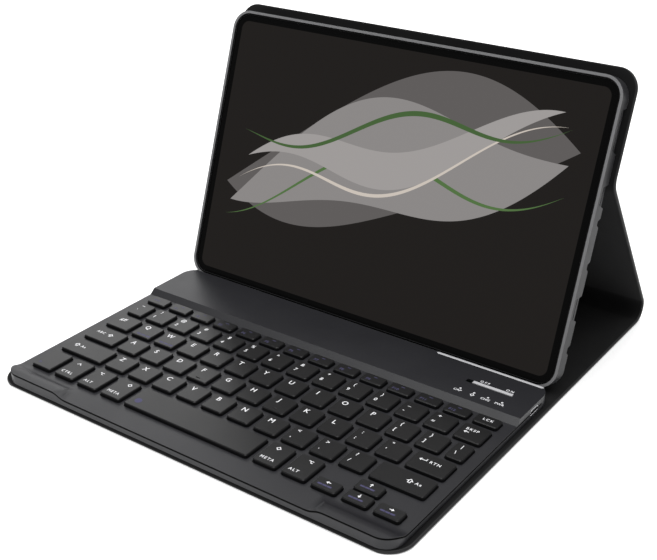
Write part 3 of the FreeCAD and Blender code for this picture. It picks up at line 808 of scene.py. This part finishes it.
SHIFT_SIGN = [[(-0.45, -1), (-0.45, 0), (-1, 0), (0, 1), (1, 0), (0.45, 0), (0.45, -1), (-0.45, -1)]]
CAPS_SIGN = [[(-0.45, -0.2), (-0.45, 0.2), (-1, 0.2), (0, 1), (1, 0.2), (0.45, 0.2), (0.45, -0.2),
              (-0.45, -0.2)],
             [(-0.45, -0.8), (0.45, -0.8)]]
ENTER_SIGN = [[(1.6, 0.9), (1.6, 0), (-1, 0)], [(-0.4, 0.5), (-1, 0), (-0.4, -0.5)]]
TAB_SIGN = [[(-1, 0.45), (1, 0.45)], [(0.5, 0.85), (1, 0.45), (0.5, 0.05)], [(1.3, 0.95), (1.3, -0.05)],
            [(1.2, -0.6), (-0.8, -0.6)], [(-0.3, -0.2), (-0.8, -0.6), (-0.3, -1)],
            [(-1.1, -0.1), (-1.1, -1.1)]]


def legend_row(node, tops):
    """Legends of a row of keys: a letter alone, or a lower and an upper character."""
    inking = key_inking(node)
    for (left, right, front, rear), signs in zip(key_rectangles(node), tops):
        if len(signs) == 1:
            inking.text(signs, left + 4.6 * MM, rear - 4.1 * MM, LETTER, align="CENTER")
            if signs in ("Q", "W"):
                inking.strokes(DASHES, left + 8.2 * MM, front + 2.2 * MM, 4.4 * MM, VIOLET, BROAD_STROKE)
        else:
            inking.text(signs[1], left + 4.2 * MM, rear - 3.2 * MM, SMALL_LETTER, align="CENTER")
            inking.text(signs[0], left + 3.4 * MM, rear - 9.0 * MM, SMALL_LETTER, align="CENTER")
    inking.make()


def legend_functions(node):
    inking = key_inking(node)
    for number, (left, right, front, rear) in enumerate(key_rectangles(node), 1):
        inking.text("F%d" % number, left + 4.4 * MM, front + 2.4 * MM, WORD, VIOLET, "CENTER")
        inking.strokes(DASH, left + 7.4 * MM, rear - 2.3 * MM, 0.9 * MM, VIOLET)
    inking.make()


def legend_single(node, words="", word_place=(2.0, 4.2), sign=(), size=1.2, sign_place=(4.7, 4.0),
                  dashes=False):
    """Legend of one key, in millimetres: a word from its front left corner, a sign from its rear left."""
    left, right, front, rear = key_rectangles(node)[0]
    inking = key_inking(node)
    if words:
        x, y = left + word_place[0] * MM, front + word_place[1] * MM
        inking.text(words, x, y, WORD, spacing=WORD_SPACING)
    if sign:
        inking.strokes(sign, left + sign_place[0] * MM, rear - sign_place[1] * MM, size * MM)
    if dashes:
        inking.strokes(DASHES, left + 6.4 * MM, front + 2.9 * MM, 3.4 * MM, VIOLET, BROAD_STROKE)
    inking.make()


def make_row_legends():
    legend_row("keys_lower_letters", list("ZXCVBNM") + [",<", ".>", "/?"])
    legend_row("keys_home_letters", list("ASDFGHJKL") + [";:", "'\""])
    legend_row("keys_upper_letters", list("QWERTYUIOP") + ["[{", "]}"])
    legend_row("keys_digits", ["1!", "2@", "3#", "4$", "5%", "6^", "7&", "8*", "9(", "0)", "-_", "=+"])
    legend_row("key_backquote", ["`~"])
    legend_row("key_backslash", ["\\|"])
    legend_functions("keys_function")


def make_single_legends():
    legend_single("key_ctrl", "CTRL", sign=CARET, sign_place=(5.8, 4.0))
    legend_single("key_alt", "ALT", sign=STEP_SIGN, sign_place=(5.4, 4.0))
    legend_single("key_meta", "META", sign=DIAMOND_SIGN, sign_place=(9.0, 4.0))
    legend_single("key_meta_right", "META", sign=DIAMOND_SIGN, sign_place=(6.0, 4.0))
    legend_single("key_alt_right", "ALT", sign=STEP_SIGN, sign_place=(8.0, 4.0))
    arrows = {"key_left": ARROW_LEFT, "key_down": ARROW_DOWN, "key_up": ARROW_UP, "key_right": ARROW_RIGHT}
    for node, sign in arrows.items():
        legend_single(node, sign=sign, size=1.0, sign_place=(7.0, 2.6), dashes=True)
    legend_single("key_shift_left", "Aa", (9.0, 7.3), SHIFT_SIGN, 1.4, (6.0, 6.6))
    legend_single("key_shift_right", "Aa", (22.0, 7.3), SHIFT_SIGN, 1.4, (19.0, 6.6))
    legend_single("key_caps", "ABC", (3.4, 8.0), CAPS_SIGN, 1.4, (13.8, 6.0))
    legend_single("key_enter", "RTN", (9.4, 8.2), ENTER_SIGN, 1.4, (5.4, 5.8))
    legend_single("key_tab", sign=TAB_SIGN, size=1.5, sign_place=(6.2, 5.0))
    legend_single("key_backspace", "BKSP", (3.0, 9.2), ARROW_LEFT, 1.2, (4.6, 7.6))
    legend_single("key_lock", "LCK", (4.2, 4.2))


def make_violet_legends():
    left, right, front, rear = key_rectangles("key_escape")[0]
    escape = key_inking("key_escape")
    escape.text("esc", left + 3.0 * MM, (front + rear) / 2, WORD, VIOLET, spacing=WORD_SPACING)
    escape.make()
    left, right, front, rear = key_rectangles("key_fn")[0]
    function = key_inking("key_fn")
    function.text("fn", left + 2.2 * MM, front + 3.6 * MM, WORD, VIOLET)
    function.make()
    left, right, front, rear = key_rectangles("key_space")[0]
    space = key_inking("key_space")
    space.disc(left + 5.5 * MM, rear - 12.2 * MM, 2.1 * MM, VIOLET)
    space.make()


# Keyboard case


def shading_group(name, sharp_from):
    """Node group that shades a mesh smooth but for the edges sharper than this angle."""
    group = bpy.data.node_groups.new(name, "GeometryNodeTree")
    for way in ("INPUT", "OUTPUT"):
        group.interface.new_socket("Geometry", in_out=way, socket_type="NodeSocketGeometry")
    start = group.nodes.new("NodeGroupInput")
    end = group.nodes.new("NodeGroupOutput")
    bare = group.nodes.new("GeometryNodeRemoveAttribute")
    bare.inputs["Name"].default_value = "custom_normal"
    faces = group.nodes.new("GeometryNodeSetShadeSmooth")
    edges = group.nodes.new("GeometryNodeSetShadeSmooth")
    edges.domain = "EDGE"
    angle = group.nodes.new("GeometryNodeInputMeshEdgeAngle")
    blunt = group.nodes.new("FunctionNodeCompare")
    blunt.operation = "LESS_THAN"
    blunt.inputs["B"].default_value = sharp_from
    group.links.new(angle.outputs["Unsigned Angle"], blunt.inputs["A"])
    group.links.new(blunt.outputs["Result"], edges.inputs["Shade Smooth"])
    chain = (start, bare, faces, edges, end)
    for first, second in zip(chain, chain[1:]):
        group.links.new(first.outputs["Geometry"], second.inputs["Geometry"])
    return group


def soften_edges(node, width, segments=2):
    """Small rounding on the sharp edges of a moulded part, with even shading over it."""
    part = frame["nodes"][node]
    part.modifiers.new("all_smooth", "NODES").node_group = shading_group("all_smooth", 2 * math.pi)
    weld = part.modifiers.new("weld", "WELD")
    weld.merge_threshold = 0.001 * MM
    planes = part.modifiers.new("planes", "DECIMATE")
    planes.decimate_type = "DISSOLVE"
    planes.angle_limit = math.radians(0.5)
    bevel = part.modifiers.new("round_edges", "BEVEL")
    bevel.width = width
    bevel.segments = segments
    bevel.limit_method = "ANGLE"
    bevel.angle_limit = math.radians(30)
    part.modifiers.new("sharp_edges", "NODES").node_group = shading_group("sharp_edges", math.radians(55))
    even = part.modifiers.new("even_shading", "WEIGHTED_NORMAL")
    even.keep_sharp = True


def make_hump_labels():
    """Names under the indicator lights, and the two ends of the switch's travel above it."""
    low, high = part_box("indicator_lights")
    switch_low, switch_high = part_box("power_switch")
    inking = Inking("hump_labels", "keyboard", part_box("keyboard_top_case")[1].z)
    radius = (high.y - low.y) / 2
    lights = [low.x + radius + (high.x - low.x - 2 * radius) * order / 3 for order in range(4)]
    below = low.y - 1.7 * MM
    for words, x in (("CAP", lights[0]), ("CHG", lights[2]), ("PWR", lights[3])):
        inking.text(words, x - 0.6 * MM, below, LABEL, align="CENTER")
    inking.strokes(DIAMOND_SIGN, lights[1], below, 1.1 * MM, width=0.4 * MM)
    above = switch_high.y + 1.9 * MM
    for words, x in (("OFF", switch_low.x + 5.6 * MM), ("ON", switch_high.x - 3.0 * MM)):
        inking.text(words, x, above, LABEL, align="CENTER", spacing=LABEL_SPACING)
    inking.make()


def link_piece(name, points, faces, material, body, slot):
    """New piece from its points and faces, smooth but for its sharp edges, riding on a body."""
    mesh = bpy.data.meshes.new(name)
    mesh.from_pydata(points, [], faces)
    mesh.materials.append(material)
    smooth_by_angle(mesh)
    piece = linked(name, mesh)
    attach(piece, body)


def case_rim():
    """Points round the left side, front and right side of the case, each with its outward direction."""
    low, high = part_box("keyboard_top_case")
    rim = []

    def straight(start, end, outward):
        count = max(int((end - start).length / RIM_STEP), 1)
        rim.extend((start.lerp(end, share / count), outward) for share in range(count))

    def corner(middle, first, steps=12):
        for share in range(steps):
            turn = first + math.pi / 2 * share / steps
            outward = Vector((math.cos(turn), math.sin(turn)))
            rim.append((middle + outward * CASE_CORNER, outward))

    rear = high.y - CASE_CORNER
    front = low.y + CASE_CORNER
    left, right = low.x + CASE_CORNER, high.x - CASE_CORNER
    straight(Vector((low.x, rear)), Vector((low.x, front)), Vector((-1, 0)))
    corner(Vector((left, front)), math.pi)
    straight(Vector((left, low.y)), Vector((right, low.y)), Vector((0, -1)))
    corner(Vector((right, front)), -math.pi / 2)
    straight(Vector((high.x, front)), Vector((high.x, rear)), Vector((1, 0)))
    return rim


def make_parting_groove_shade():
    """Painted shade of the parting groove: a dark strip round the case, a little under its top edge and following
    the rise of its front corners.
    """
    mesh = frame["nodes"]["keyboard_top_case"].data
    corners = [vertex.co for vertex in mesh.vertices]
    case = BVHTree.FromPolygons(corners, [tuple(polygon.vertices) for polygon in mesh.polygons])
    low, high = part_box("keyboard_top_case")
    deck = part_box("key_space")[1].z - KEY_RISE
    down = Vector((0, 0, -1))
    section = ((LINE_PROUD, -0.5), (LINE_PROUD, 0.5), (-LINE_SUNK, 0.5), (-LINE_SUNK, -0.5))
    rings = []
    for place, outward in case_rim():
        inside = place - outward * RIM_INSET
        top = case.ray_cast(Vector((inside.x, inside.y, high.z + MM)), down)[0].z
        if place.y > low.y + SHOULDER_REACH:
            top = deck
        level = top - LINE_DROP
        rings.append([(*(place + outward * depth), level + rise * LINE_WIDTH) for depth, rise in section])
    link_piece("case_parting_groove_shade", *lofted(rings), GROOVE_SHADE_PAINT, "keyboard", "keyboard_case")


def make_hump_edge_highlight():
    """Painted highlight along the right part of the hump's rear edge: a bright strip, flush but for a hair."""
    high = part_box("keyboard_top_case")[1]
    rear = high.y - HUMP_BEVEL - EDGE_HIGHLIGHT_INSET
    middle = rear - EDGE_HIGHLIGHT_WIDTH / 2
    section = ((-1, -0.2), (-1, 0), (-0.5, 0.06), (0.5, 0.06), (1, 0), (1, -0.2))
    rings = []
    for x, fullness in ((EDGE_HIGHLIGHT_START, 0.2), (EDGE_HIGHLIGHT_START + MM, 1), (EDGE_HIGHLIGHT_END - MM, 1), (EDGE_HIGHLIGHT_END, 0.2)):
        half = EDGE_HIGHLIGHT_WIDTH / 2 * fullness
        rings.append([(x, middle + along * half, high.z + level * MM) for along, level in section])
    link_piece("hump_edge_highlight", *lofted(rings), SILVER_AND_EDGE_HIGHLIGHT, "keyboard", "bright_metal")


def make_homing_bars():
    """Small raised bars at the front of two keys of the home row."""
    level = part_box("keys_home_letters")[1].z
    keys = key_rectangles("keys_home_letters")
    half_length, half_width, height = 1.5 * MM, 0.32 * MM, 0.3 * MM
    from_front = 2.4 * MM
    sides = 8
    turns = [math.pi * side / sides for side in range(sides + 1)]
    stations = ((-1, 0.15), (-0.93, 0.7), (-0.8, 1), (0.8, 1), (0.93, 0.7), (1, 0.15))
    points, faces = [], []
    for number in HOMING_KEYS:
        left, right, front, rear = keys[number]
        rings = []
        for along, fullness in stations:
            x = (left + right) / 2 + along * half_length
            rings.append([(x, front + from_front - half_width * fullness * math.cos(turn),
                           level + height * fullness * math.sin(turn)) for turn in turns])
        bar_points, bar_faces = lofted(rings)
        faces += [tuple(len(points) + corner for corner in face) for face in bar_faces]
        points += bar_points
    link_piece("homing_bars", points, faces, KEYCAP, "keys_home_letters", "keycap")


make_camera()
make_studio()
finish_cad_nodes()
make_cover_base()
make_cover_spine()
make_cover_lower_panel()
make_cover_mid_fold()
make_cover_upper_panel()
soften_edges("keyboard_top_case", 0.45 * MM)
soften_edges("tablet_shell", 0.4 * MM, 3)
make_row_legends()
make_single_legends()
make_violet_legends()
make_hump_labels()
make_parting_groove_shade()
make_hump_edge_highlight()
make_homing_bars()
